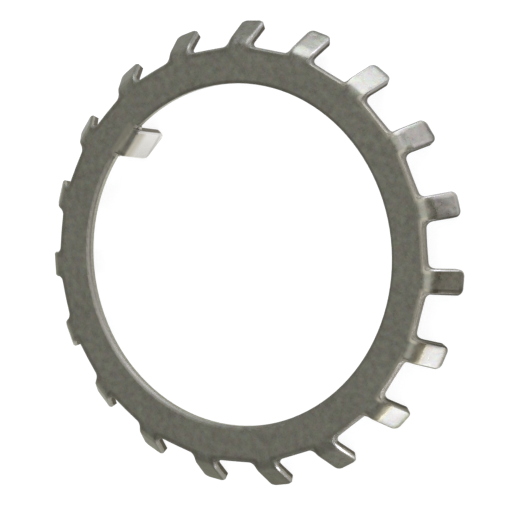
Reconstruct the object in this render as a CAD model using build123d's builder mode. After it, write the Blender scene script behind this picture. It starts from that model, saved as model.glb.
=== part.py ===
"""Tab lock washer: one stamped and bent steel sheet, sizes in millimetres.

The seating face lies at Z = 0 and looks up, and the bore axis is Z. The key tab stands on +X and
leads towards the axis before it turns down. Every tab turns down, away from the seating face.
"""

import os
from math import asin, atan2, cos, degrees, radians, sin, tan

from build123d import *

# Sheet and ring
sheet = 1.5  # thickness of the strip
bore_diameter = 65.0  # runs over the shaft
root_diameter = 79.0  # circle through the corners where the locking tabs leave the rim
bore_roll_width = 0.8  # the piercing punch draws the bore's upper edge in by this much
bore_roll_depth = 0.5  # and down by this much

# Locking tabs round the rim
tab_count = 19
tab_width = 4.65  # at the root circle
tab_flare = 1.2  # angle by which each side of a tab leans out towards the tip
tab_length = 8.5  # along the middle of the sheet, from the bend line to the tip
tab_angle = 56.5  # turned down from the flat
tab_bend_radius = 1.8  # on the inside of the bend
tab_setback = 0.9  # the bend line lies this far inside the root circle
root_fillet = 1.2  # where a tab's side meets the rim
tip_corner = 1.3
edge_roll = 0.3  # the blanking die draws the upper edges down by this much

# Key tab in the bore
key_width = 6.5
key_length = 9.3  # along the middle of the sheet, from the bend line to the tip
key_angle = 83.0
key_bend_radius = 0.6
key_setback = 0.9  # the bend line lies this far outside the bore
key_offset_angle = 1.9  # the key tab stands this far round from the middle of a gap
key_tip_corner = 1.1
key_root_fillet = 0.6
web_drop = 0.6  # the webs beside the key tab's root lie this far below its front

# Values that follow from the sizes above
bore_radius = bore_diameter / 2
root_radius = root_diameter / 2
bend_line = root_radius - tab_setback
key_bend_line = bore_radius + key_setback
pitch = 360 / tab_count
inside = bore_radius / 2  # well within what the punch takes out
outside = 2 * root_radius  # clear of every tab
tiny = 0.01  # less than any size here, for telling edges and faces apart


def bent_strip(start, inside_radius, angle, length, outward):
    """Draws a strip that turns down at the distance start from the axis, and returns its bends.

    The strip leads away from the axis, or towards it where outward is -1.
    """
    centre = (start, -sheet - inside_radius)
    straight = length - (inside_radius + sheet / 2) * radians(angle)
    heading = -angle if outward > 0 else 180 + angle
    front_bend = CenterArc(centre, inside_radius + sheet, 90, -outward * angle)
    front = PolarLine(front_bend @ 1, straight, heading)
    tip = PolarLine(front @ 1, sheet, heading - outward * 90)
    PolarLine(tip @ 1, straight, heading + 180)
    back_bend = CenterArc(centre, inside_radius, 90 - outward * angle, outward * angle)
    return front_bend, back_bend


def upper_outline(body):
    """Edges along which the faces that look up meet the faces that don't."""
    upper = body.faces().filter_by(lambda face: face.normal_at().Z > tiny)
    others = body.faces().filter_by(lambda face: face.normal_at().Z < tiny)
    return ShapeList(set(upper.edges()) & set(others.edges()))


# Section of the strip from inside the bore to the tip of a locking tab
with BuildSketch(Plane.XZ) as section:
    with BuildLine():
        front_bend, back_bend = bent_strip(bend_line, tab_bend_radius, tab_angle, tab_length, 1)
        seat = Line(front_bend @ 0, (inside, 0))
        inner_end = Line(seat @ 1, (inside, -sheet))
        Line(inner_end @ 1, back_bend @ 1)
    make_face()

# What the piercing punch takes out, with the rolled edge that it leaves
with BuildSketch(Plane.XZ) as punch:
    with BuildLine():
        roll = TangentArc(
            (bore_radius + bore_roll_width, 0), (bore_radius, -bore_roll_depth), tangent=(-1, 0)
        )
        Polyline(
            roll @ 1,
            (bore_radius, -outside),
            (0, -outside),
            (0, outside),
            (bore_radius + bore_roll_width, outside),
            roll @ 0,
        )
    make_face()

# Gap between two locking tabs, seen from above on +X: a straight floor between two tab sides
half_gap = radians(pitch / 2) - asin(tab_width / 2 / root_radius)
corner = (root_radius * cos(half_gap), root_radius * sin(half_gap))
with BuildSketch() as gap:
    with BuildLine():
        floor = Line((corner[0], -corner[1]), corner)
        upper_side = PolarLine(floor @ 1, outside, pitch / 2 - tab_flare)
        lower_side = PolarLine(floor @ 0, outside, tab_flare - pitch / 2)
        Line(upper_side @ 1, lower_side @ 1)
    make_face()
    fillet(gap.vertices().group_by(Axis.X)[0], root_fillet)

# One pitch of the blank from above, with its tab on +X between two half gaps
with BuildSketch() as pitch_outline:
    with BuildLine():
        half_width = outside * tan(radians(pitch / 2))
        Polyline((0, 0), (outside, -half_width), (outside, half_width), close=True)
    make_face()
    with PolarLocations(0, 2, start_angle=-pitch / 2, angular_range=pitch, endpoint=True):
        add(gap.sketch, mode=Mode.SUBTRACT)

# One pitch of the washer, bent, pierced and with its edges rolled
with BuildPart() as sector:
    extrude(section.sketch, amount=half_width, both=True)
    extrude(pitch_outline.sketch, amount=outside, both=True, mode=Mode.INTERSECT)
    revolve(punch.sketch, axis=Axis.Z, mode=Mode.SUBTRACT)
    tip_edges = sector.edges().filter_by(
        lambda edge: abs(edge.length - sheet) < tiny and (edge @ 0.5).Z < -2 * sheet
    )
    fillet(tip_edges, tip_corner)
    blanked_edges = upper_outline(sector).filter_by(
        lambda edge: (edge @ 0.5).X > bend_line * cos(radians(pitch))
        and abs(degrees(atan2((edge @ 0.5).Y, (edge @ 0.5).X))) < pitch / 2 - tiny
    )
    chamfer(blanked_edges, edge_roll)

# Key tab before it joins the ring: a strip that turns down into the keyway
with BuildSketch(Plane.XZ) as key_section:
    with BuildLine():
        front_bend, back_bend = bent_strip(
            key_bend_line, key_bend_radius, key_angle, key_length, -1
        )
        Line(back_bend @ 1, front_bend @ 0)
    make_face()
with BuildPart() as key_tab:
    extrude(key_section.sketch, amount=key_width / 2, both=True)
    fillet(key_tab.edges().filter_by(Axis.Y, reverse=True).group_by(Axis.Z)[0], key_tip_corner)
    pierced_edges = upper_outline(key_tab).filter_by(
        lambda edge: (edge @ 0.5).X < key_bend_line - tiny
    )
    chamfer(pierced_edges, edge_roll)

# Webs in the corners between the key tab's sides and the bore, bent with the tab
with BuildSketch() as key_root:
    Circle(key_bend_line)
    Circle(bore_radius, mode=Mode.SUBTRACT)
    with Locations((bore_radius, 0)):
        Rectangle(key_length, key_width)
    root_corners = key_root.vertices().filter_by(
        lambda vertex: abs(Vector(vertex).length - bore_radius) < tiny
    )
    fillet(root_corners, key_root_fillet)
with BuildSketch(Plane.XZ) as web_section:
    with Locations((key_bend_line, -key_bend_radius - sheet)):
        Circle(key_bend_radius + sheet - web_drop)
        Circle(key_bend_radius, mode=Mode.SUBTRACT)
        Rectangle(
            2 * key_length, 2 * key_length, align=(Align.MAX, Align.MIN), mode=Mode.INTERSECT
        )
with BuildPart() as key_webs:
    extrude(web_section.sketch, amount=key_width / 2 + key_root_fillet, both=True)
    extrude(key_root.sketch, amount=-key_length, mode=Mode.INTERSECT)

# The whole washer: the pitches joined in a ring, with the key tab beside the middle of a gap
with BuildPart() as washer:
    with PolarLocations(0, tab_count, start_angle=pitch / 2 - key_offset_angle):
        add(sector.part, clean=False)
    add(key_tab.part, clean=False)
    add(key_webs.part, clean=False)

washer.part.label = "tab_lock_washer"
os.makedirs("parts", exist_ok=True)
export_step(washer.part, "parts/tab_lock_washer.step")
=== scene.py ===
# %% [markdown]
# # Tab lock washer
#
# The washer keeps a shaft nut from working loose. It is one steel stamping: a flat ring, a key tab
# that drops into the shaft's keyway, and a crown of locking tabs, one of which is bent into a slot
# of the nut. This lesson takes the exact solid as it is and spends its effort on the surface: bare
# rolled strip, bends, rolled edges and sheared walls.

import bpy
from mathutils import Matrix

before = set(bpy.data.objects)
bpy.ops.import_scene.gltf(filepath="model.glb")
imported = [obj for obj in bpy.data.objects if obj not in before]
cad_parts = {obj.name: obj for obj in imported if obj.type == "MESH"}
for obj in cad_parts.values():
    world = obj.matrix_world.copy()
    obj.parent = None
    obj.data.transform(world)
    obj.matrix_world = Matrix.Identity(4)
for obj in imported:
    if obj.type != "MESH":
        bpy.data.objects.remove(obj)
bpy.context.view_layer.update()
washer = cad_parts["tab_lock_washer"]

# %% [markdown]
# ## Sizes
#
# Sizes are written in millimetres, as on a drawing, and multiplied by `mm` where Blender needs
# metres. The few sizes of the sheet that the finish follows are repeated here: where each bend
# begins, how tight it is on the outside, how far it turns, and where the blank's outline runs.

# %% Sizes of the bent sheet
from math import cos, degrees, pi, radians, sin

import bpy
from mathutils import Quaternion, Vector

mm = 0.001
sheet = 1.5
bore_radius = 32.5
tab_count = 19
pitch = 2 * pi / tab_count
first_tab = pitch / 2 - radians(1.9)  # azimuth of tab 0, next to the key tab
tab_bend = {"line": 38.6, "radius": 3.3, "angle": radians(56.5)}
tab_length = 8.5  # past the bend line, as all lengths of tabs here
tab_half_width = 2.325
tab_root = 39.43  # distance from the axis at which a tab is that wide
tab_flare = 0.021  # a tab grows wider by this much on each side for every millimetre
tab_corner = 1.3
tab_bend_end = 2.51  # where a locking tab runs straight again
gap_floor = 39.276  # distance from the axis to the straight edge between two tabs
key_bend = {"line": 33.4, "radius": 2.1, "angle": radians(83)}
key_length = 9.3
key_half_width = 3.25
key_corner = 1.1
print("tabs stand", round(degrees(pitch), 2), "degrees apart")

# %% [markdown]
# ## Camera
#
# The photograph looks down on the washer from a long way off, through a long lens, and the camera
# is rolled so that the washer seems to stand on its rim. An orbit says this plainly: a point to
# aim at, two angles, a distance and a roll.

# %% Camera
aim = Vector((-3.74, -2.94, 0)) * mm
camera_azimuth = radians(-131.70)
camera_elevation = radians(61.50)
camera_distance = 497.1 * mm
camera_roll = radians(-96.07)
sensor_width = 36
focal_length = 184.45
nearest = 10 * mm
farthest = 20


def direction(azimuth, elevation):
    """Unit vector with that azimuth, counted from +X, and elevation above the seating face."""
    flat = cos(elevation)
    return Vector((cos(azimuth) * flat, sin(azimuth) * flat, sin(elevation)))


camera_data = bpy.data.cameras.new("photo_camera")
camera_data.sensor_width = sensor_width
camera_data.lens = focal_length
camera_data.clip_start = nearest
camera_data.clip_end = farthest
camera = bpy.data.objects.new("photo_camera", camera_data)
toward_camera = direction(camera_azimuth, camera_elevation)
camera.location = aim + toward_camera * camera_distance
camera.rotation_mode = "QUATERNION"
level_view = (-toward_camera).to_track_quat("-Z", "Y")
camera.rotation_quaternion = level_view @ Quaternion((0, 0, 1), camera_roll)
bpy.context.scene.collection.objects.link(camera)
bpy.context.scene.camera = camera
print("camera at", [round(c / mm, 1) for c in camera.location], "mm")

# %% [markdown]
# ## A short way to write nodes
#
# A finish is a net of small nodes. `calc` makes one Math node, `node` makes any other node, and
# `group` makes a node group with named sockets, which `use` places. They keep the cells below as
# short as formulas.
#
# Most of the finish is written with masks: numbers from 0 to 1 that vary over the surface. `ramp`
# and `fade` make one from a distance, `band` makes a stripe, and `times` lets masks cut each other.
# The numbers that they are given are the distances, in millimetres, where the mask turns.

# %% Helpers for nodes
def feed(tree, socket, value):
    """Links a socket to another one, or sets its value."""
    if isinstance(value, bpy.types.NodeSocket):
        tree.links.new(value, socket)
    else:
        socket.default_value = value


def calc(tree, operation, *values, clamp=False):
    """One Math node, and its result."""
    maths = tree.nodes.new("ShaderNodeMath")
    maths.operation = operation
    maths.use_clamp = clamp
    for socket, value in zip(maths.inputs, values):
        feed(tree, socket, value)
    return maths.outputs[0]


def node(tree, kind, settings=None, **values):
    """Any node: settings are its own properties, values are its inputs by name."""
    made = tree.nodes.new("ShaderNode" + kind)
    for name, value in (settings or {}).items():
        setattr(made, name, value)
    for name, value in values.items():
        feed(tree, made.inputs[name.replace("_", " ")], value)
    return made


def times(tree, first, *others):
    """Product of any number of values."""
    for other in others:
        first = calc(tree, "MULTIPLY", first, other)
    return first


def rest_of(tree, mask):
    """1 where the mask is 0, and 0 where it is 1."""
    return calc(tree, "SUBTRACT", 1.0, mask)


def magnitude(tree, value):
    """The value without its sign."""
    return calc(tree, "ABSOLUTE", value)


def pick(tree, factor, first, second):
    """first where factor is 0 and second where it is 1; Mix has many sockets named A and B,
    so its sockets are found by number."""
    mix = node(tree, "Mix", {"data_type": "FLOAT"})
    feed(tree, mix.inputs[0], factor)
    feed(tree, mix.inputs[2], first)
    feed(tree, mix.inputs[3], second)
    return mix.outputs[0]


print("helpers for numbers ready")

# %% Helpers for masks and colours
def ramp(tree, value, low, high, to_low=0.0, to_high=1.0):
    """Runs smoothly from to_low to to_high while value goes from low to high."""
    mapped = node(tree, "MapRange", {"interpolation_type": "SMOOTHSTEP"}, Value=value)
    limits = {"From Min": low, "From Max": high, "To Min": to_low, "To Max": to_high}
    for name, number in limits.items():
        mapped.inputs[name].default_value = number
    return mapped.outputs["Result"]


def fade(tree, value, low, high):
    """Runs smoothly from 1 to 0 while value goes from low to high."""
    return ramp(tree, value, low, high, 1.0, 0.0)


def band(tree, value, start, full, past, end):
    """A stripe: rises between the first two numbers and falls between the last two."""
    return times(tree, ramp(tree, value, start, full), fade(tree, value, past, end))


def toward(tree, position, arrow):
    """How far a position lies in the direction of an arrow."""
    dot = node(tree, "VectorMath", {"operation": "DOT_PRODUCT"}, Vector=position)
    dot.inputs[1].default_value = arrow
    return dot.outputs["Value"]


def blend_colours(tree, factor, first, second, mode="MIX"):
    """The same for two colours, which a Mix node takes at other sockets."""
    mix = node(tree, "Mix", {"data_type": "RGBA", "blend_type": mode})
    feed(tree, mix.inputs[0], factor)
    feed(tree, mix.inputs[6], first)
    feed(tree, mix.inputs[7], second)
    return mix.outputs[2]


def shade_by(tree, colour, red, green, blue):
    """Multiplies each channel of a colour by its own number."""
    factors = node(tree, "CombineColor", Red=red, Green=green, Blue=blue)
    return blend_colours(tree, 1.0, colour, factors.outputs[0], "MULTIPLY")


print("helpers for masks ready")

# %% Helpers for node groups
def group(name, inputs, outputs):
    """A node group with the given sockets: its tree, what comes in, and what goes out."""
    tree = bpy.data.node_groups.new(name, "ShaderNodeTree")
    for socket, (kind, value) in inputs.items():
        made = tree.interface.new_socket(socket, in_out="INPUT", socket_type="NodeSocket" + kind)
        if value is not None:
            made.default_value = value
    for socket, kind in outputs.items():
        tree.interface.new_socket(socket, in_out="OUTPUT", socket_type="NodeSocket" + kind)
    start = tree.nodes.new("NodeGroupInput")
    end = tree.nodes.new("NodeGroupOutput")
    return tree, start.outputs, end.inputs


def use(tree, made_group, **values):
    """Places a node group in a tree and returns its outputs."""
    placed = tree.nodes.new("ShaderNodeGroup")
    placed.node_tree = made_group
    for name, value in values.items():
        feed(tree, placed.inputs[name.replace("_", " ")], value)
    return placed.outputs


print("helpers for groups ready")

# %% [markdown]
# ## The sheet before it was bent
#
# The strip was rolled flat, then blanked, then bent, so its grain and stains run straight through
# every bend. A texture that is laid on the finished shape would be cut at each bend instead. So
# this group unrolls the washer: for any point it works out where that point lay on the flat
# blank, how deep it is in the sheet, and whether the surface there is the upper face (1), a cut
# wall (0) or the back (-1).
#
# One formula does it. Round a bend's centre, the angle of the point is kept between zero and the
# angle of the bend. At that angle stands a frame of two arrows, one out of the sheet and one along
# it, and the point's distance along each is its depth and its place on the blank.

# %% Unroll one bend
def unroll(tree, bend, along_axis, height):
    """Depth in the sheet, distance past the bend line, and the out-of-sheet arrow's two parts."""
    out = calc(tree, "SUBTRACT", along_axis, bend["line"])
    up = calc(tree, "ADD", height, bend["radius"])
    turn = calc(tree, "ARCTAN2", out, up)
    turn = calc(tree, "MINIMUM", calc(tree, "MAXIMUM", turn, 0.0), bend["angle"])
    arrow_out = calc(tree, "SINE", turn)
    arrow_up = calc(tree, "COSINE", turn)
    proud = calc(tree, "ADD", times(tree, out, arrow_out), times(tree, up, arrow_up))
    depth = calc(tree, "SUBTRACT", bend["radius"], proud)
    ahead = calc(tree, "SUBTRACT", times(tree, out, arrow_up), times(tree, up, arrow_out))
    along = calc(tree, "MULTIPLY_ADD", turn, bend["radius"] - sheet / 2, ahead)
    return depth, along, arrow_out, arrow_up


unrolled_sheet, _, out = group(
    "unrolled_sheet", {},
    {"Blank": "Vector", "Depth": "Float", "Facing": "Float", "Along": "Float", "Across": "Float",
     "Edge": "Float", "Radius": "Float", "Tab": "Float", "Key": "Float", "Bow": "Float"},
)
t = unrolled_sheet
coordinates = node(t, "TexCoord")
place = node(t, "VectorMath", {"operation": "SCALE"}, Vector=coordinates.outputs["Object"])
place.inputs["Scale"].default_value = 1 / mm
x, y, z = node(t, "SeparateXYZ", Vector=place.outputs[0]).outputs
nx, ny, nz = node(t, "SeparateXYZ", Vector=coordinates.outputs["Normal"]).outputs

radius = calc(t, "SQRT", calc(t, "MULTIPLY_ADD", x, x, times(t, y, y)))
angle = calc(t, "ARCTAN2", y, x)
tab_number = calc(t, "ROUND", calc(t, "DIVIDE", calc(t, "SUBTRACT", angle, first_tab), pitch))
tab_angle = calc(t, "MULTIPLY_ADD", tab_number, pitch, first_tab)
off_angle = calc(t, "SUBTRACT", angle, tab_angle)
from_axis = times(t, radius, calc(t, "COSINE", off_angle))
aside = times(t, radius, calc(t, "SINE", off_angle))
tab = unroll(t, tab_bend, from_axis, z)
inward_bend = dict(key_bend, line=-key_bend["line"])
key = unroll(t, inward_bend, times(t, x, -1.0), z)
print("unrolled_sheet so far:", len(t.nodes), "nodes")

# %% [markdown]
# The key tab bends towards the axis and the locking tabs bend away from it, so each point takes
# the result of its own bend. The number of a locking tab is the place in the crown that is nearest
# to the point.

# %% Place on the blank, depth and facing
key_zone_half_width = 4.0
key_zone = times(t, calc(t, "LESS_THAN", radius, key_bend["line"]),
                 calc(t, "GREATER_THAN", x, 0.0),
                 calc(t, "LESS_THAN", magnitude(t, y), key_zone_half_width))
tab_cos = calc(t, "COSINE", tab_angle)
tab_sin = calc(t, "SINE", tab_angle)
flat_tab = calc(t, "ADD", tab[1], tab_bend["line"])
blank_x = calc(t, "SUBTRACT", times(t, flat_tab, tab_cos), times(t, aside, tab_sin))
blank_y = calc(t, "ADD", times(t, flat_tab, tab_sin), times(t, aside, tab_cos))
flat_key = calc(t, "SUBTRACT", key_bend["line"], key[1])
depth = pick(t, key_zone, tab[0], key[0])
blank = node(t, "CombineXYZ", X=pick(t, key_zone, blank_x, flat_key),
             Y=pick(t, key_zone, blank_y, y), Z=depth)
outward = calc(t, "ADD", times(t, nx, tab_cos), times(t, ny, tab_sin))
facing_tab = calc(t, "MULTIPLY_ADD", outward, tab[2], times(t, nz, tab[3]))
facing_key = calc(t, "SUBTRACT", times(t, nz, key[3]), times(t, nx, key[2]))
feed(t, out["Blank"], blank.outputs[0])
feed(t, out["Depth"], depth)
feed(t, out["Facing"], pick(t, key_zone, facing_tab, facing_key))
feed(t, out["Along"], pick(t, key_zone, tab[1], key[1]))
feed(t, out["Across"], pick(t, key_zone, aside, y))
feed(t, out["Radius"], radius)
feed(t, out["Tab"], tab_number)
feed(t, out["Key"], key_zone)
print("unrolled_sheet so far:", len(t.nodes), "nodes")

# %% [markdown]
# Wear and dirt follow the cut outline, so the group also says how far a point is from it. A tab
# is a strip with two round corners, a gap has a straight floor, and a smooth maximum joins them
# through the fillet at the tab's root.

# %% Distance to the cut outline
key_root = 1.5  # nearer to the bend line than this, the key tab's edge counts as far away
key_side_end = 3.3
far_away = 3.0
tab_fillet = 0.5
key_fillet = 0.3


def round_corner(tree, first, second, corner):
    """Distance to the outline near a corner of that radius, from those to its two sides."""
    into_first = calc(tree, "SUBTRACT", corner, first)
    into_second = calc(tree, "SUBTRACT", corner, second)
    beyond = node(tree, "CombineXYZ", X=calc(tree, "MAXIMUM", into_first, 0.0),
                  Y=calc(tree, "MAXIMUM", into_second, 0.0))
    reach = node(tree, "VectorMath", {"operation": "LENGTH"}, Vector=beyond.outputs[0])
    within = calc(tree, "MINIMUM", calc(tree, "MAXIMUM", into_first, into_second), 0.0)
    return calc(tree, "SUBTRACT", calc(tree, "SUBTRACT", corner, reach.outputs["Value"]), within)


wide = magnitude(t, aside)
across_gap = calc(t, "MULTIPLY_ADD", flat_tab, cos(pitch / 2), times(t, wide, sin(pitch / 2)))
to_floor = calc(t, "SUBTRACT", gap_floor, across_gap)
past_root = calc(t, "SUBTRACT", flat_tab, tab_root)
half_width = calc(t, "MULTIPLY_ADD", past_root, tab_flare, tab_half_width)
to_side = calc(t, "SUBTRACT", half_width, wide)
to_tip = calc(t, "SUBTRACT", tab_length, tab[1])
in_tab = round_corner(t, to_side, to_tip, tab_corner)
edge = calc(t, "SMOOTH_MAX", to_floor, in_tab, tab_fillet)

to_key_side = calc(t, "SUBTRACT", key_half_width, magnitude(t, y))
to_key_tip = calc(t, "SUBTRACT", key_length, key[1])
key_edge = round_corner(t, to_key_side, to_key_tip, key_corner)
key_edge = calc(t, "SMOOTH_MAX", key_edge, calc(t, "SUBTRACT", key_root, key[1]), key_fillet)
beside = calc(t, "GREATER_THAN", magnitude(t, y), key_side_end)
key_edge = calc(t, "MULTIPLY_ADD", beside, far_away, key_edge)
feed(t, out["Edge"], pick(t, key_zone, edge, key_edge))
print("unrolled_sheet so far:", len(t.nodes), "nodes")

# %% [markdown]
# A bend in thick strip doesn't end on a line. The face behind it stays bowed by a few hundredths
# of a millimetre, and mirrors show it. The solid's bend ends exactly, so the group puts out a
# small height that softens that end and bows the face behind it.

# %% Soft end of a bend
soft_rise = 0.15
soft_before = 0.9
soft_after = 0.8
bow_length = 5.0
bow_strength = 0.005
soft_end = times(t, ramp(t, tab[1], tab_bend_end - soft_before, tab_bend_end + soft_after),
                 soft_rise)
past_bend = calc(t, "MAXIMUM", calc(t, "SUBTRACT", tab[1], tab_bend_end), 0.0)
bowed = times(t, past_bend, calc(t, "SUBTRACT", bow_length, past_bend), bow_strength)
feed(t, out["Bow"], pick(t, key_zone, calc(t, "ADD", soft_end, bowed), 0.0))
print("unrolled_sheet:", len(t.nodes), "nodes")

# %% [markdown]
# ## Skin of the rolled strip
#
# Cold-rolled strip is a dull olive grey. Oil and the first bloom of rust leave faint clouds on it,
# some brown and some bluish, one or two millimetres across, with a finer grain over them. Noise at
# three sizes, laid on the flat blank, gives the clouds, and the same noise unevenly dulls the
# shine. A smooth noise makes the face gently wavy. The group takes the base colour in and leaves
# the strengths open, so that other bare sheet could use it too.

# %% Group: rolled skin
olive_grey = (0.1385, 0.138, 0.1105, 1)
brown_bloom = (0.165, 0.132, 0.092, 1)
blue_bloom = (0.128, 0.142, 0.142, 1)
patch_strength = 0.25
green_shift = 0.36
wave_height = 14.0
grain_height = 0.25
cloud_dullness = 0.25
grain_dullness = 0.2
bloom_limits = (0.0, 0.28)

rolled_skin, given, out = group(
    "rolled_skin",
    {"Blank": ("Vector", None), "Base": ("Color", olive_grey),
     "Clouds": ("Float", 0.7), "Grain": ("Float", 0.45), "Stain": ("Float", 0.6)},
    {"Color": "Color", "Dullness": "Float", "Height": "Float"},
)
t = rolled_skin


def noise(tree, position, scale, detail, offset=0.0):
    """Noise about zero; another offset gives another pattern of the same kind."""
    shifted = node(tree, "VectorMath", {"operation": "ADD"}, Vector=position)
    shifted.inputs[1].default_value = (offset, offset, offset)
    made = node(tree, "TexNoise", {"noise_dimensions": "3D"}, Vector=shifted.outputs[0],
                Scale=scale, Detail=detail)
    return calc(tree, "SUBTRACT", made.outputs[0], 0.5)


def bloom(scale, offset):
    """A mask with soft patches, as strong as the stain that is asked for."""
    cloudy = noise(t, given["Blank"], scale=scale, detail=3, offset=offset)
    return times(t, ramp(t, cloudy, *bloom_limits), given["Stain"])


clouds = noise(t, given["Blank"], scale=0.75, detail=3)
grain = noise(t, given["Blank"], scale=3.2, detail=2, offset=40)
patches = noise(t, given["Blank"], scale=0.11, detail=2, offset=80)
tone = calc(t, "MULTIPLY_ADD", clouds, given["Clouds"], 1.0)
tone = calc(t, "MULTIPLY_ADD", grain, given["Grain"], tone)
tone = calc(t, "MULTIPLY_ADD", patches, patch_strength, tone)
tinted = blend_colours(t, bloom(scale=0.9, offset=120), given["Base"], brown_bloom)
tinted = blend_colours(t, bloom(scale=0.8, offset=160), tinted, blue_bloom)
greenish = noise(t, given["Blank"], scale=0.55, detail=2, offset=320)
green = calc(t, "MULTIPLY_ADD", greenish, green_shift, 1.0)
feed(t, out["Color"], shade_by(t, tinted, tone, times(t, tone, green), tone))
dullness = calc(t, "MULTIPLY_ADD", clouds, cloud_dullness, times(t, grain, grain_dullness))
feed(t, out["Dullness"], dullness)
waves = noise(t, given["Blank"], scale=0.45, detail=1, offset=360)
cloudy_height = calc(t, "MULTIPLY_ADD", grain, grain_height, clouds)
feed(t, out["Height"], calc(t, "MULTIPLY_ADD", waves, wave_height, cloudy_height))
print("rolled_skin:", len(t.nodes), "nodes")

# %% [markdown]
# ## Sheared wall
#
# A punch cuts sheet in two stages. First it slides in and polishes the wall, then the rest tears
# off. So every cut wall has a bright band next to the rolled edge and a rough dark band below it,
# which rusts first. The line between them wanders, so a little noise is added to the depth. The
# torn band is streaked from top to bottom, because the noise there is stretched along the depth.

# %% Group: sheared wall
polished_steel = (0.25, 0.243, 0.2, 1)
torn_steel = (0.1, 0.09, 0.068, 1)
rusty_steel = (0.1, 0.08, 0.058, 1)
polished_roughness = 0.32
torn_roughness = 0.6
wander_reach = 0.5
streak_strength = 0.9
along_depth = (1, 1, 0.2)
torn_limits = (-0.08, 0.12)
rust_limits = (-0.02, 0.2)

sheared_wall, given, out = group(
    "sheared_wall",
    {"Blank": ("Vector", None), "Depth": ("Float", 0.0), "Polished": ("Float", 0.95)},
    {"Color": "Color", "Roughness": "Float", "Height": "Float"},
)
t = sheared_wall
uneven = noise(t, given["Blank"], scale=0.8, detail=2, offset=200)
wander = calc(t, "MULTIPLY_ADD", uneven, wander_reach, given["Depth"])
torn = ramp(t, calc(t, "SUBTRACT", wander, given["Polished"]), *torn_limits)
streak_place = node(t, "VectorMath", {"operation": "MULTIPLY"}, Vector=given["Blank"])
streak_place.inputs[1].default_value = along_depth
streaks = noise(t, streak_place.outputs[0], scale=4.5, detail=3, offset=240)
rust = noise(t, given["Blank"], scale=0.7, detail=3, offset=280)
dark = blend_colours(t, ramp(t, rust, *rust_limits), torn_steel, rusty_steel)
shade = calc(t, "MULTIPLY_ADD", streaks, streak_strength, 1.0)
both = blend_colours(t, torn, polished_steel, dark)
feed(t, out["Color"], shade_by(t, both, shade, shade, shade))
feed(t, out["Roughness"], pick(t, torn, polished_roughness, torn_roughness))
feed(t, out["Height"], times(t, streaks, torn))
print("sheared_wall:", len(t.nodes), "nodes")

# %% [markdown]
# ## Rolled edge
#
# Before a die shears through, it drags the upper edge of the sheet down. The solid has that as a
# plain bevel. On the real washer it begins further in and deepens slowly, so this group adds the
# rest as a height that falls towards the cut outline, and rounds the bevel with a small bulge.

# %% Group: rolled edge
rolled_edge, given, out = group(
    "rolled_edge",
    {"Edge": ("Float", 1.0), "Width": ("Float", 1.1), "Drop": ("Float", 0.16),
     "Bevel": ("Float", 0.3), "Bulge": ("Float", 0.043)},
    {"Height": "Float"},
)
t = rolled_edge
near = calc(t, "SUBTRACT", 1.0, calc(t, "DIVIDE", given["Edge"], given["Width"]), clamp=True)
fall = times(t, near, near, given["Drop"], -1.0)
across = calc(t, "MULTIPLY_ADD", calc(t, "DIVIDE", given["Edge"], given["Bevel"]), 2.0, -1.0)
bulge = calc(t, "SUBTRACT", 1.0, times(t, across, across), clamp=True)
feed(t, out["Height"], calc(t, "MULTIPLY_ADD", bulge, given["Bulge"], fall))
print("rolled_edge:", len(t.nodes), "nodes")

# %% [markdown]
# ## Steel
#
# The material lays the three effects over each other by the unrolled sheet: skin where the surface
# is a face of the sheet, sheared wall where it is cut, and rolled edge in between. It could be
# painted by hand, but masks follow the shape by themselves and stay sharp at any distance.
#
# First come the masks for the kinds of surface: cut wall or upper face, locking tab, gap between
# two tabs, bevel, and the roll round the bore. The punch polished the bore's wall all the way
# down, the tabs' walls in their upper half, and the key tab's walls only at the top.

# %% Steel: masks for the kinds of surface
bore_reach = bore_radius + 0.9
bore_polish = 2.0
tab_polish = 0.7
key_polish = 0.35
wall_facing = (0.15, 0.4)
back_facing = -0.5
front_facing = (0.5, 0.9)
roll_depth = (0.42, 0.58)

steel = bpy.data.materials.new("rolled_strip_steel")
steel.use_nodes = True
s = steel.node_tree
flat = use(s, unrolled_sheet)
skin = use(s, rolled_skin, Blank=flat["Blank"])
rolled = use(s, rolled_edge, Edge=flat["Edge"])
not_key = rest_of(s, flat["Key"])

in_bore = times(s, calc(s, "LESS_THAN", flat["Radius"], bore_reach), not_key)
polished = pick(s, in_bore, pick(s, flat["Key"], tab_polish, key_polish), bore_polish)
wall = use(s, sheared_wall, Blank=flat["Blank"], Depth=flat["Depth"], Polished=polished)

cut_wall = fade(s, magnitude(s, flat["Facing"]), *wall_facing)
not_back = calc(s, "GREATER_THAN", flat["Facing"], back_facing)
bore_wall = times(s, not_back, ramp(s, flat["Depth"], *roll_depth))
is_wall = pick(s, in_bore, cut_wall, bore_wall)
is_front = ramp(s, flat["Facing"], *front_facing)
print("steel so far:", len(s.nodes), "nodes")

# %% Steel: masks for places on the blank
rim_start = (-2.0, -1.5)  # past the bend line, as tab_start is: the strip that holds the gaps
tab_start = (0.9, 2.4)
bevel_width = (0.25, 0.45)
roll_radius = (33.0, 33.5)
roll_gap = (3.6, 6.5)  # from the key tab's middle, where the roll takes up again

on_tab = times(s, ramp(s, flat["Along"], *tab_start), not_key)
in_gap = times(s, band(s, flat["Along"], *rim_start, *tab_start), not_key)
bevel = fade(s, flat["Edge"], *bevel_width)

blank_x, blank_y, _ = node(s, "SeparateXYZ", Vector=flat["Blank"]).outputs
beside_key = times(s, fade(s, magnitude(s, blank_y), *roll_gap),
                   calc(s, "GREATER_THAN", blank_x, 0.0))
bore_roll = times(s, fade(s, flat["Radius"], *roll_radius), rest_of(s, beside_key))
print("steel so far:", len(s.nodes), "nodes")

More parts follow.
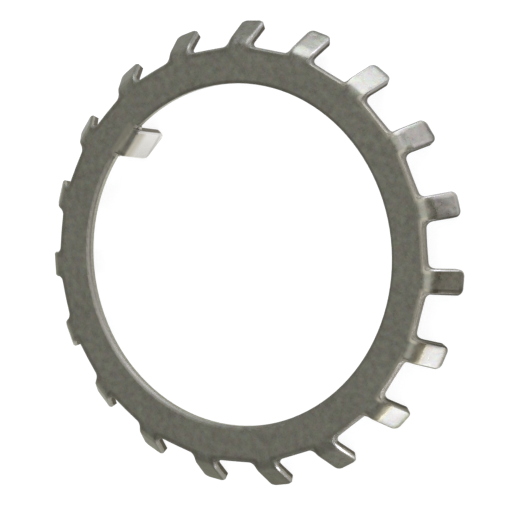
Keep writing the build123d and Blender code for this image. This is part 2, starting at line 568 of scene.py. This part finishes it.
# %% [markdown]
# ## Rubbed key tab, with painted highlight and painted shade
#
# The shaft's keyway rubs the front of the key tab bright, more towards its tip, and a painted
# highlight makes that face lighter still, more on one side than the other. At its root stay a
# lighter strip, a painted highlight on the bend, and a dark stripe of painted shade in the crease
# where the sheet folds. The tab was bent a little askew, so these lines lean. Each is a stripe of
# the distance past the bend line, less a small share of the place across to tilt it. A coat is a
# colour and how strongly it covers what is under it.

# %% Steel: rubbed key tab, with painted highlight and painted shade
root_lean = 0.08
tip_lean = 0.2
rubbed_start = (1.3, 1.9)
root_to_highlit = (2.2, 4.6)
key_sides = (-2.6, 2.6)
tip_line = (7.8, 8.3, 8.5, 9.0)
strip_line = (32.4, 32.8, 33.6, 34.3)  # from the axis
strip_end = (3.0, 3.9)
crease_line = (0.6, 0.95, 1.25, 1.6)
rubbed_root = (0.32, 0.3, 0.247, 1)
# These face colours are lighter than rubbing alone makes them: a painted highlight, stronger on one
# side.
highlit_far_side = (0.485, 0.475, 0.447, 1)
highlit_near_side = (0.415, 0.405, 0.38, 1)
dull_tip = (0.22, 0.21, 0.18), 0.4
painted_root_highlight = (0.189, 0.18, 0.14), 0.85
painted_crease_shade = (0.05, 0.045, 0.035), 0.1


def cover(under, mask, colour, strength):
    """Covers the colour under with a coat where the mask is 1."""
    return blend_colours(s, times(s, mask, strength), under, (*colour, 1))


key_front = times(s, flat["Key"], is_front)
from_root = calc(s, "MULTIPLY_ADD", flat["Across"], -root_lean, flat["Along"])
from_tip = calc(s, "MULTIPLY_ADD", flat["Across"], -tip_lean, flat["Along"])
from_middle = calc(s, "MULTIPLY_ADD", blank_y, root_lean, blank_x)
rubbed = times(s, key_front, ramp(s, from_root, *rubbed_start))
# Painted highlight: the face is drawn brighter on one side than on the other.
nearer = ramp(s, flat["Across"], *key_sides)
rubbed_and_highlit = blend_colours(s, nearer, highlit_far_side, highlit_near_side)
bare = blend_colours(s, ramp(s, from_root, *root_to_highlit), rubbed_root, rubbed_and_highlit)
bare = cover(bare, band(s, from_tip, *tip_line), *dull_tip)
look = blend_colours(s, rubbed, skin["Color"], bare)

# Painted highlight: a lighter strip across the root of the key tab's bend.
strip = times(s, band(s, from_middle, *strip_line), fade(s, magnitude(s, blank_y), *strip_end))
look = cover(look, strip, *painted_root_highlight)
# Painted shade: a dark stripe in the crease where the key tab folds.
crease = times(s, band(s, from_root, *crease_line), key_front)
look = cover(look, crease, *painted_crease_shade)
print("steel so far:", len(s.nodes), "nodes")

# %% [markdown]
# ## Painted light and shade, and stains, on the rim
#
# Nothing soils a washer evenly. One side of the rim is painted lighter along its gaps, as painted
# light, and the rest of the outline has a thin line of painted shade just inside its edge, with a
# little more painted shade at the tips of the locking tabs. Two tabs have a tan stain where they
# leave their bend, and one has a painted shadow along its lower side. Which side is meant is told
# by an arrow in the plane of the blank, and which tab by its number.

# %% Steel: painted lit side and tan stain
lit_side_azimuth = radians(-135)
lit_side_reach = (12, 34)  # towards that side
lit_gap_width = (0.75, 1.1)
painted_lit_rim = (0.2, 0.187, 0.146), 0.7
last_tab = 9  # plus or minus this: the two tabs across from the key tab
stain_line = (1.4, 2.4, 3.2, 4.3)
tan_stain = (0.15, 0.139, 0.085), 0.75

# Painted light: the gap edges on one side of the rim are drawn lighter.
lit_side = ramp(s, toward(s, flat["Blank"], direction(lit_side_azimuth, 0)), *lit_side_reach)
look = cover(look, times(s, lit_side, in_gap, fade(s, flat["Edge"], *lit_gap_width)), *painted_lit_rim)
opposite = calc(s, "GREATER_THAN", magnitude(s, flat["Tab"]), last_tab - 0.5)
stained = times(s, band(s, flat["Along"], *stain_line), opposite, not_key)
look = cover(look, stained, *tan_stain)
print("steel so far:", len(s.nodes), "nodes")

# %% Steel: painted shade along the outline
painted_edge_shade = (0.06, 0.055, 0.04), 1.0
thin_line = (0.2, 0.6, 0.7, 1.2)
thin_strength = 0.33
change_on_tab = -0.6
tip_start = (6.9, 7.8)
tip_strength = 0.1
shadowed_tab = -8
tab_shadow_line = (0.2, 0.5, 0.9, 1.3)
tab_shadow_strength = 0.85
half_across = 1.5
slack = 0.1  # how far a tab's number may be from the one that is meant

upper_side = ramp(s, flat["Across"], 0.0, half_across)
lower_side = fade(s, flat["Across"], -half_across, 0.0)
less_on_tab = calc(s, "MULTIPLY_ADD", on_tab, change_on_tab, 1.0)
# Painted shade: a thin dark line just inside the outline, left off the lit side and the rubbed key
# tab.
shade_line = times(s, band(s, flat["Edge"], *thin_line), thin_strength, less_on_tab,
                   rest_of(s, lit_side), rest_of(s, rubbed))
# Painted shade: the tips of the locking tabs are drawn a little darker.
tip_shade = times(s, ramp(s, flat["Along"], *tip_start), not_key, tip_strength)
# Painted shadow: a dark line along the lower side of one tab.
on_shadowed_tab = times(s, calc(s, "COMPARE", flat["Tab"], shadowed_tab, slack), on_tab)
side_shadow = times(s, band(s, flat["Edge"], *tab_shadow_line), tab_shadow_strength, on_shadowed_tab,
                   lower_side)
edge_shades = calc(s, "MAXIMUM", calc(s, "MAXIMUM", shade_line, tip_shade), side_shadow)
# The painted shades and the painted shadow go on as one dark coat.
look = cover(look, edge_shades, *painted_edge_shade)
print("steel so far:", len(s.nodes), "nodes")

# %% [markdown]
# ## Burnished edges, with painted highlight
#
# Handling burnishes the bevels that stand out, and a painted highlight makes them lighter still.
# On most tabs only one side is bright, and at one place in the crown both are. On five tabs one
# side is painted shade instead, so their bevel stays dull here, and a later step darkens it
# together with the cut wall below it. The rubbed key tab has the brightest bevel of all, partly
# rubbing and partly painted highlight.

# %% Steel: burnished edges, with painted highlight
both_lit_azimuth = radians(282)
both_lit_reach = (37.5, 41.5)
burnish_and_highlight = (0.33, 0.32, 0.29), 0.8
key_bevel_highlight = (0.6, 0.59, 0.56), 0.8
middle_shaded_tab = -7  # the tabs before and after it get the painted shade too

there = toward(s, flat["Blank"], direction(both_lit_azimuth, 0))
both_sides_lit = ramp(s, there, *both_lit_reach)
# Painted shade: one side of five tabs is left dark.
shaded_upper = times(s, opposite, upper_side)
shaded_tabs = calc(s, "COMPARE", flat["Tab"], middle_shaded_tab, 1 + slack)
shaded_edges = calc(s, "MAXIMUM", shaded_upper, times(s, shaded_tabs, lower_side))
highlit_side = times(s, calc(s, "MAXIMUM", upper_side, both_sides_lit), rest_of(s, shaded_edges))
# Partly burnish and partly painted highlight on one side of each tab's bevel.
look = cover(look, times(s, bevel, on_tab, highlit_side), *burnish_and_highlight)
# The rubbed key tab's bevel: partly rubbing, partly painted highlight.
look = cover(look, times(s, bevel, rubbed), *key_bevel_highlight)
print("steel so far:", len(s.nodes), "nodes")

# %% [markdown]
# ## Roll round the bore
#
# The rolled edge of the bore is darkened with painted shade, except on one side, where a painted
# highlight makes it lighter.

# %% Steel: roll round the bore
roll_lit_azimuth = radians(50)
roll_lit_reach = (15, 27)
roll_painted_shade = (0.06, 0.055, 0.04), 0.25
roll_painted_highlight = (0.19, 0.18, 0.153), 0.6

# Painted highlight on one side of the bore's roll, painted shade on the rest.
roll_lit_side = ramp(s, toward(s, flat["Blank"], direction(roll_lit_azimuth, 0)), *roll_lit_reach)
look = cover(look, times(s, bore_roll, rest_of(s, roll_lit_side)), *roll_painted_shade)
look = cover(look, times(s, bore_roll, roll_lit_side), *roll_painted_highlight)
print("steel so far:", len(s.nodes), "nodes")

# %% [markdown]
# ## Faces, walls and webs together
#
# Last, the faces and the cut walls come together. In the gaps the walls are lighter, because the
# die rubbed them on its way back. The painted shade of five tabs goes on over both, and so does a
# painted highlight on the two small webs in the corners beside the key tab.

# %% Steel: colour
gap_wall = (0.18, 0.168, 0.14), 0.8
painted_tab_shade = (0.045, 0.041, 0.032), 0.75
lighter_shade = 0.6  # on the shaded tabs with a number above the middle one's
painted_web_highlight = (0.3, 0.285, 0.24), 0.75
web_side = (3.15, 3.45)
web_start = (0.2, 0.7)
glancing_tint = (0.69, 0.69, 0.61, 1)
principled = s.nodes["Principled BSDF"]
principled.inputs["Metallic"].default_value = 1
principled.inputs["Specular Tint"].default_value = glancing_tint

wall_look = cover(wall["Color"], in_gap, *gap_wall)
look = blend_colours(s, is_wall, look, wall_look)
# Painted shade on one side of five tabs, over their bevel and cut wall.
shade_strength = ramp(s, flat["Tab"], middle_shaded_tab, middle_shaded_tab + 1, 1.0, lighter_shade)
shaded_edges = times(s, shaded_edges, shade_strength, on_tab, calc(s, "MAXIMUM", bevel, is_wall))
look = cover(look, shaded_edges, *painted_tab_shade)
# Painted highlight on the two small webs beside the key tab.
web = times(s, flat["Key"], ramp(s, magnitude(s, flat["Across"]), *web_side),
            ramp(s, flat["Along"], *web_start))
look = cover(look, web, *painted_web_highlight)
feed(s, principled.inputs["Base Color"], look)
print("steel so far:", len(s.nodes), "nodes")

# %% [markdown]
# ## Shine and relief
#
# The skin's own dullness is the start. The bevels of the gaps, the crease and the bore's roll are
# rougher than the face. The relief is one height in millimetres, so a single Bump node is enough:
# skin, bow and rolled edge on the faces, and torn streaks on the walls.

# %% Steel: roughness and bump
face_roughness = 0.32
gap_bevel_roughness = 0.3
creased_roughness = 0.25
skin_relief = 0.004
torn_relief = 0.03

dull = calc(s, "ADD", skin["Dullness"], face_roughness)
dull = calc(s, "MULTIPLY_ADD", times(s, bevel, in_gap), gap_bevel_roughness, dull)
dull = calc(s, "MULTIPLY_ADD", calc(s, "MAXIMUM", crease, bore_roll), creased_roughness, dull)
feed(s, principled.inputs["Roughness"], pick(s, is_wall, dull, wall["Roughness"]))

fine = calc(s, "MULTIPLY_ADD", skin["Height"], skin_relief, flat["Bow"])
face_height = calc(s, "MULTIPLY_ADD", rolled["Height"], is_front, fine)
wall_height = times(s, wall["Height"], torn_relief)
bump = node(s, "Bump", Height=pick(s, is_wall, face_height, wall_height), Distance=mm)
feed(s, principled.inputs["Normal"], bump.outputs[0])
washer.data.materials.clear()
washer.data.materials.append(steel)
print("steel:", len(s.nodes), "nodes")

# %% [markdown]
# ## Floor
#
# The washer lies as it comes to rest: on the key tab's tip and on the locking tabs across from
# it. It stays in its own frame, so it is the floor that is turned, by the small angle between
# those points and the seating face.

# %% Floor
key_foot = Vector((31.9, 0, -9.32)) * mm
tab_foot = Vector((-43.2, 0, -7.30)) * mm
rest_tilt = (tab_foot.z - key_foot.z) / (tab_foot.x - key_foot.x)
floor_reach = 2.0
corners = [
    (side_x * floor_reach, side_y * floor_reach,
     key_foot.z + (side_x * floor_reach - key_foot.x) * rest_tilt)
    for side_x, side_y in ((-1, -1), (1, -1), (1, 1), (-1, 1))
]
floor_mesh = bpy.data.meshes.new("floor")
floor_mesh.from_pydata(corners, [], [(0, 1, 2, 3)])
floor = bpy.data.objects.new("floor", floor_mesh)
bpy.context.scene.collection.objects.link(floor)
print("the washer rests", round(degrees(rest_tilt), 2), "degrees off level")

# %% [markdown]
# ## What the floor shows to the steel
#
# The floor is white to the camera, and keeps the washer's shadow. The bent tabs are small mirrors
# that look at the floor beside the washer, so what they see there decides how bright each one is.
# In a studio that is lit paper, with brighter and dimmer places. Round pools of light, which only
# mirrors see, stand for them: more light in one pool brightens the tabs that look at it and leaves
# the rest alone.

# %% Pools of light on the floor
picture_right = camera_azimuth + camera_roll + pi / 2
camera_glow = 0.85
plain_glow = 0.92
right_light = 8.2
top_light = 5.2
side_light = 2.5
dim_light = -0.25
key_light = 0.55

acrylic = bpy.data.materials.new("white_acrylic")
acrylic.use_nodes = True
p = acrylic.node_tree
spot = node(p, "TexCoord").outputs["Object"]


def pool(azimuth, radius, spread, core=0.3):
    """A round pool on the floor, 1 in its middle and 0 at its rim; sizes are in millimetres,
    and its azimuth is counted from the picture's right."""
    middle = direction(picture_right + radians(azimuth), 0) * radius * mm
    apart = node(p, "VectorMath", {"operation": "DISTANCE"}, Vector=spot)
    apart.inputs[1].default_value = (middle.x, middle.y, key_foot.z)
    return fade(p, apart.outputs["Value"], core * spread * mm, spread * mm)


right_pool = pool(azimuth=-40, radius=84, spread=43, core=0.6)
top_pool = pool(azimuth=60, radius=93, spread=42)
side_pool = pool(azimuth=14, radius=58, spread=15)
dim_pool = pool(azimuth=-95, radius=75, spread=50)
key_pool = pool(azimuth=137.8, radius=28, spread=22)
lit = calc(p, "MULTIPLY_ADD", right_pool, right_light, times(p, top_pool, top_light))
lit = calc(p, "MULTIPLY_ADD", side_pool, side_light, lit)
mirrored = calc(p, "MULTIPLY_ADD", dim_pool, dim_light, plain_glow)
mirrored = calc(p, "MULTIPLY_ADD", key_pool, key_light, mirrored)
mirrored = calc(p, "ADD", mirrored, lit)
path = node(p, "LightPath").outputs
mirrored = times(p, path["Is Glossy Ray"], mirrored)
glow = calc(p, "MULTIPLY_ADD", path["Is Camera Ray"], camera_glow, mirrored)
print("floor so far:", len(p.nodes), "nodes")

# %% [markdown]
# The pools and the paper towards the top of the picture are a little bluer, as daylight is, and
# the rim of the right-hand pool is warmer. The camera sees neither, because both tints are cut
# where its own rays arrive. The floor's white is its own glow, and the dim grey under it takes
# the washer's shadow.

# %% Floor: tint and sheen
paper_white = (1, 1, 1, 1)
daylight = (0.92, 0.94, 1.2, 1)
warm_rim = (1.1, 1.0, 0.72, 1)
floor_grey = (0.2, 0.2, 0.2, 1)
floor_roughness = 0.12
top_reach = 50 * mm
top_coolness = 0.5
pool_coolness = 0.4
rim_band = (0.05, 0.25, 0.25, 0.6)
rim_strength = 0.6
unseen = rest_of(p, path["Is Camera Ray"])

toward_top = toward(p, spot, direction(picture_right + pi / 2, 0))
cool = calc(p, "MAXIMUM", ramp(p, toward_top, 0, top_reach, 0.0, top_coolness),
            calc(p, "MULTIPLY", lit, pool_coolness, clamp=True))
rim = times(p, band(p, right_pool, *rim_band), rim_strength)
tint = blend_colours(p, times(p, cool, unseen), paper_white, daylight)
tint = blend_colours(p, times(p, rim, unseen), tint, warm_rim)
sheen = p.nodes["Principled BSDF"]
sheen.inputs["Base Color"].default_value = floor_grey
sheen.inputs["Roughness"].default_value = floor_roughness
feed(p, sheen.inputs["Emission Color"], tint)
feed(p, sheen.inputs["Emission Strength"], glow)
floor_mesh.materials.append(acrylic)
print("floor:", len(p.nodes), "nodes")

# %% [markdown]
# ## Room
#
# A white room surrounds the washer. It lights at less than half of what the camera sees, so that
# the soft boxes can draw the shape. In mirrors it is dim and warm low down on the right, as at the
# unlit wall of a studio, and a little dim towards the bottom of the picture. That gives the bends
# their dark stripes.

# %% World
room_white = (1, 1, 1, 1)
unlit_wall = (1.22, 0.93, 0.58, 1)
room_light = 0.45
low_sky = sin(radians(8))
high_sky = sin(radians(24))
high_share = 0.55  # so much of the dimming is left high in the sky

world = bpy.data.worlds.new("white_room")
bpy.context.scene.world = world
world.use_nodes = True
w = world.node_tree
sky = node(w, "TexCoord").outputs["Generated"]


def dim_side(azimuth, elevation, start, full, level):
    """Falls from 1 to level as the sky turns towards a direction; start and full are cosines."""
    arrow = direction(picture_right + radians(azimuth), radians(elevation))
    return ramp(w, toward(w, sky, arrow), start, full, 1.0, level)


height_in_sky = node(w, "SeparateXYZ", Vector=sky).outputs[2]
low_down = ramp(w, height_in_sky, low_sky, high_sky, 1.0, high_share)
dim_right = dim_side(azimuth=-18, elevation=4, start=0.6, full=0.95, level=0.32)
dim_bottom = dim_side(azimuth=-108, elevation=25, start=0.6, full=0.92, level=0.72)
right_side = calc(w, "MULTIPLY_ADD", calc(w, "SUBTRACT", dim_right, 1.0), low_down, 1.0)
reflected = times(w, right_side, dim_bottom)
path = node(w, "LightPath").outputs
mirrors = path["Is Glossy Ray"]
strength = pick(w, path["Is Camera Ray"], pick(w, mirrors, room_light, reflected), 1.0)
on_wall = calc(w, "MULTIPLY", rest_of(w, right_side), mirrors, clamp=True)
background = w.nodes["Background"]
feed(w, background.inputs["Strength"], strength)
feed(w, background.inputs["Color"], blend_colours(w, on_wall, room_white, unlit_wall))
print("world:", len(w.nodes), "nodes")

# %% [markdown]
# ## Soft boxes
#
# Four soft boxes do the rest. One hangs overhead and runs along the bends, a long low strip and a
# small fill box stand on the right, where the locking tabs mirror them, and a large window box
# stands at the top of the picture. Each is given by where it stands and how bright its face looks,
# and its power follows from its size.

# %% Soft boxes
def soft_box(name, azimuth, elevation, distance, width, height, radiance, colour):
    """A soft box that looks at the washer; its azimuth is counted from the picture's right."""
    data = bpy.data.lights.new(name, "AREA")
    data.shape = "RECTANGLE"
    data.size = width
    data.size_y = height
    data.energy = radiance * width * height * pi
    data.color = colour
    box = bpy.data.objects.new(name, data)
    away = direction(picture_right + radians(azimuth), radians(elevation))
    box.location = away * distance
    box.rotation_mode = "QUATERNION"
    box.rotation_quaternion = (-away).to_track_quat("-Z", "Y")
    box.visible_camera = False
    bpy.context.scene.collection.objects.link(box)


soft_box("overhead_box", azimuth=8, elevation=66, distance=1.0,
         width=1.3, height=0.89, radiance=1.97, colour=(0.93, 0.93, 1.0))
soft_box("strip_box", azimuth=-50, elevation=0.8, distance=1.2,
         width=0.98, height=0.09, radiance=17.5, colour=(0.84, 0.85, 1.0))
soft_box("fill_box", azimuth=33, elevation=4, distance=1.2,
         width=0.46, height=0.22, radiance=5.6, colour=(0.9, 0.83, 1.08))
soft_box("window_box", azimuth=79, elevation=22, distance=1.2,
         width=1.24, height=0.95, radiance=6.8, colour=(0.8, 0.82, 1.0))

# %% [markdown]
# ## Colours as they are
#
# The finish was matched as plain colour, so the picture is shown without a film look.

# %% Colour management
bpy.context.scene.view_settings.view_transform = "Standard"
print("view transform:", bpy.context.scene.view_settings.view_transform)
